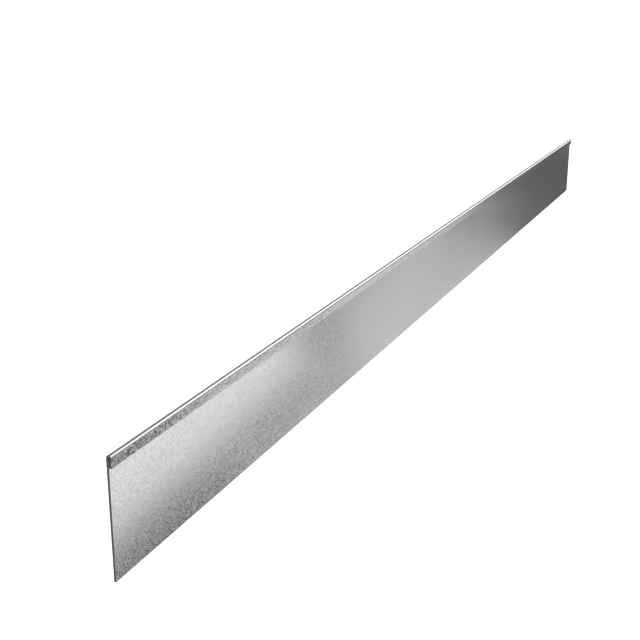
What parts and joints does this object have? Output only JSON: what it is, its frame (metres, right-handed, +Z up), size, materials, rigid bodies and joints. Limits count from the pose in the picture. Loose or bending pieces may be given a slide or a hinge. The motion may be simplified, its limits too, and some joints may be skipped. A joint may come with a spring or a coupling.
{
  "type": "steel lawn edging",
  "caption": "Long flat strip of galvanised steel sheet with its top edge folded over as a hem, for holding the edge of a lawn or bed.",
  "frame": {"origin": "on the floor under the middle of the strip as it lies on its back", "axes": "+X along the strip, +Y across it towards the folded top edge, +Z up, out of the front face"},
  "size_m": [2, 0.13, 0.006],
  "materials": {
    "galvanised_steel": "hot-dip galvanised, satin, with a fine crystal grain"
  },
  "bodies": {
    "root": {"edging_strip": "galvanised_steel"}
  },
  "joints": []
}
